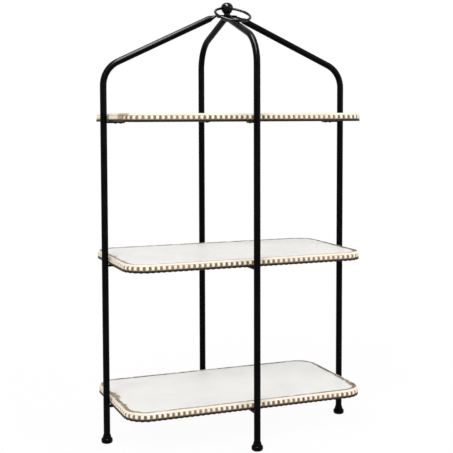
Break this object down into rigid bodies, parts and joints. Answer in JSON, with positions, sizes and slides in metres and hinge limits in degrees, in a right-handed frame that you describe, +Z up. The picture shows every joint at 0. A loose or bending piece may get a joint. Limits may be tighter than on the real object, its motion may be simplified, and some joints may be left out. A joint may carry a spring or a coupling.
{
  "type": "tiered shelf",
  "caption": "Free-standing tiered shelf: bent black tube posts at mid-sides carry beaded whitewashed shelves and meet under a finial with a loose ring.",
  "frame": {"origin": "on the floor, under the middle of the shelves", "axes": "+Z up, -Y to the front, +X to the viewer's right along the length of the shelves"},
  "size_m": [0.8244, 0.5004, 1.3369],
  "materials": {
    "black_steel": "satin black powder coat on steel tube and strap",
    "gloss_black": "gloss black enamel",
    "foot_cap": "moulded gloss black",
    "fastener": "black-finished steel",
    "whitewashed_board": "white paint, rubbed through to brown wood near the ends",
    "distressed_edging": "cream paint with brown left in the hollows"
  },
  "bodies": {
    "frame": {"post_front": "black_steel", "post_back": "black_steel", "post_left": "black_steel", "post_right": "black_steel", "foot_front": "foot_cap", "foot_back": "foot_cap", "foot_left": "foot_cap", "foot_right": "foot_cap", "hub_washer": "fastener", "hub_bolt": "fastener", "finial": "gloss_black", "board_bottom": "whitewashed_board", "edging_bottom": "distressed_edging", "bracket_bottom_front": "black_steel", "bracket_bottom_back": "black_steel", "bracket_bottom_left": "black_steel", "bracket_bottom_right": "black_steel", "bracket_screws_bottom": "fastener", "board_middle": "whitewashed_board", "edging_middle": "distressed_edging", "bracket_middle_front": "black_steel", "bracket_middle_back": "black_steel", "bracket_middle_left": "black_steel", "bracket_middle_right": "black_steel", "bracket_screws_middle": "fastener", "board_top": "whitewashed_board", "edging_top": "distressed_edging", "bracket_top_front": "black_steel", "bracket_top_back": "black_steel", "bracket_top_left": "black_steel", "bracket_top_right": "black_steel", "bracket_screws_top": "fastener"},
    "ring": {"finial_ring": "gloss_black"}
  },
  "joints": [
    {"name": "ring_swing", "type": "hinge", "parent": "frame", "child": "ring", "pos_m": [0, 0, 1.31845], "axis": [-1, 0, 0], "range_deg": [0, 230.2]}
  ]
}
